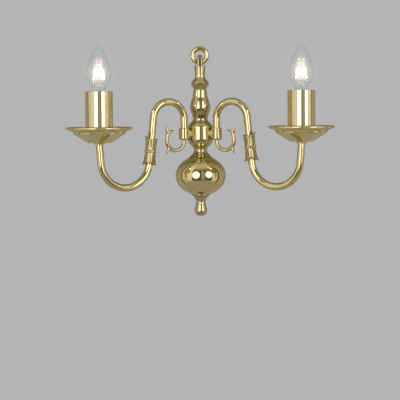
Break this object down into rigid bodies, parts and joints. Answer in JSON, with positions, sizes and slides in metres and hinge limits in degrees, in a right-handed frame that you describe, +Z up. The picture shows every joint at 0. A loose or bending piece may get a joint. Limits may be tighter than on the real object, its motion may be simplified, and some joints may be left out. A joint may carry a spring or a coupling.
{
  "type": "wall sconce",
  "caption": "Wall light in polished brass: a turned column and ball carry looped arms with leaf sleeves, drip pans, candle sleeves and clear candle lamps.",
  "frame": {"origin": "centre of the wall strap's back face, on the wall, level with the middle of the ball", "axes": "+Z up, +Y into the wall, +X to the right as seen from the room"},
  "size_m": [0.3656, 0.1442, 0.243],
  "materials": {
    "brass_polished": "polished and lacquered",
    "brass_plain": "as turned",
    "zinc_steel": "zinc plated",
    "black_steel": "black oxide",
    "grommet_rubber": "matte",
    "block_plastic": "matte",
    "holder_plastic": "moulded",
    "holder_metal": "pressed",
    "lamp_glass": "clear",
    "stem_glass": "clear",
    "cap_metal": "bright",
    "solder": "dull",
    "lead_metal": "drawn",
    "tungsten": "glowing",
    "lead_insulation": "smooth"
  },
  "bodies": {
    "fixture": {"arm_grub_screws": "black_steel", "arm_tube_left": "brass_polished", "arm_tube_right": "brass_polished", "ball_fixing_screws": "brass_polished", "ball_shell": "brass_polished", "bottom_finial": "brass_polished", "cable_grommet": "grommet_rubber", "drip_pan_left": "brass_polished", "drip_pan_right": "brass_polished", "earth_screw": "brass_plain", "eye_neck": "brass_polished", "hub": "brass_polished", "lampholder_body_left": "holder_plastic", "lampholder_body_right": "holder_plastic", "lampholder_contact_left": "brass_plain", "lampholder_contact_right": "brass_plain", "lampholder_shell_left": "holder_metal", "lampholder_shell_right": "holder_metal", "leaf_sleeve_left": "brass_polished", "leaf_sleeve_right": "brass_polished", "lower_neck": "brass_polished", "pan_collar_left": "brass_polished", "pan_collar_right": "brass_polished", "pan_nut_left": "brass_plain", "pan_nut_right": "brass_plain", "scroll_left": "brass_polished", "scroll_right": "brass_polished", "sleeve_seat_left": "brass_plain", "sleeve_seat_right": "brass_plain", "terminal_block": "block_plastic", "terminal_screws": "zinc_steel", "tie_nuts": "zinc_steel", "tie_tube": "brass_plain", "vase_column": "brass_polished", "wall_strap": "zinc_steel", "wire_left": "lead_insulation", "wire_right": "lead_insulation"},
    "ring": {"hanging_ring": "brass_polished"},
    "sleeve_left": {"candle_sleeve_left": "brass_polished"},
    "lamp_left": {"lamp_glass_left": "lamp_glass", "lamp_cap_left": "cap_metal", "lamp_contact_left": "solder", "lamp_stem_left": "stem_glass", "lamp_leads_left": "lead_metal", "lamp_filament_left": "tungsten"},
    "sleeve_right": {"candle_sleeve_right": "brass_polished"},
    "lamp_right": {"lamp_glass_right": "lamp_glass", "lamp_cap_right": "cap_metal", "lamp_contact_right": "solder", "lamp_stem_right": "stem_glass", "lamp_leads_right": "lead_metal", "lamp_filament_right": "tungsten"}
  },
  "joints": [
    {"name": "ring_swing", "type": "hinge", "parent": "fixture", "child": "ring", "pos_m": [0, -0.0195, 0.1592], "axis": [1, 0, 0], "range_deg": [-50, 90]},
    {"name": "lamp_left_lift", "type": "slide", "parent": "fixture", "child": "lamp_left", "axis": [0, 0, 1], "range_m": [0, 0.06]},
    {"name": "sleeve_left_lift", "type": "slide", "parent": "fixture", "child": "sleeve_left", "axis": [0, 0, 1], "range_m": [0, 0.14]},
    {"name": "lamp_right_lift", "type": "slide", "parent": "fixture", "child": "lamp_right", "axis": [0, 0, 1], "range_m": [0, 0.06]},
    {"name": "sleeve_right_lift", "type": "slide", "parent": "fixture", "child": "sleeve_right", "axis": [0, 0, 1], "range_m": [0, 0.14]}
  ]
}
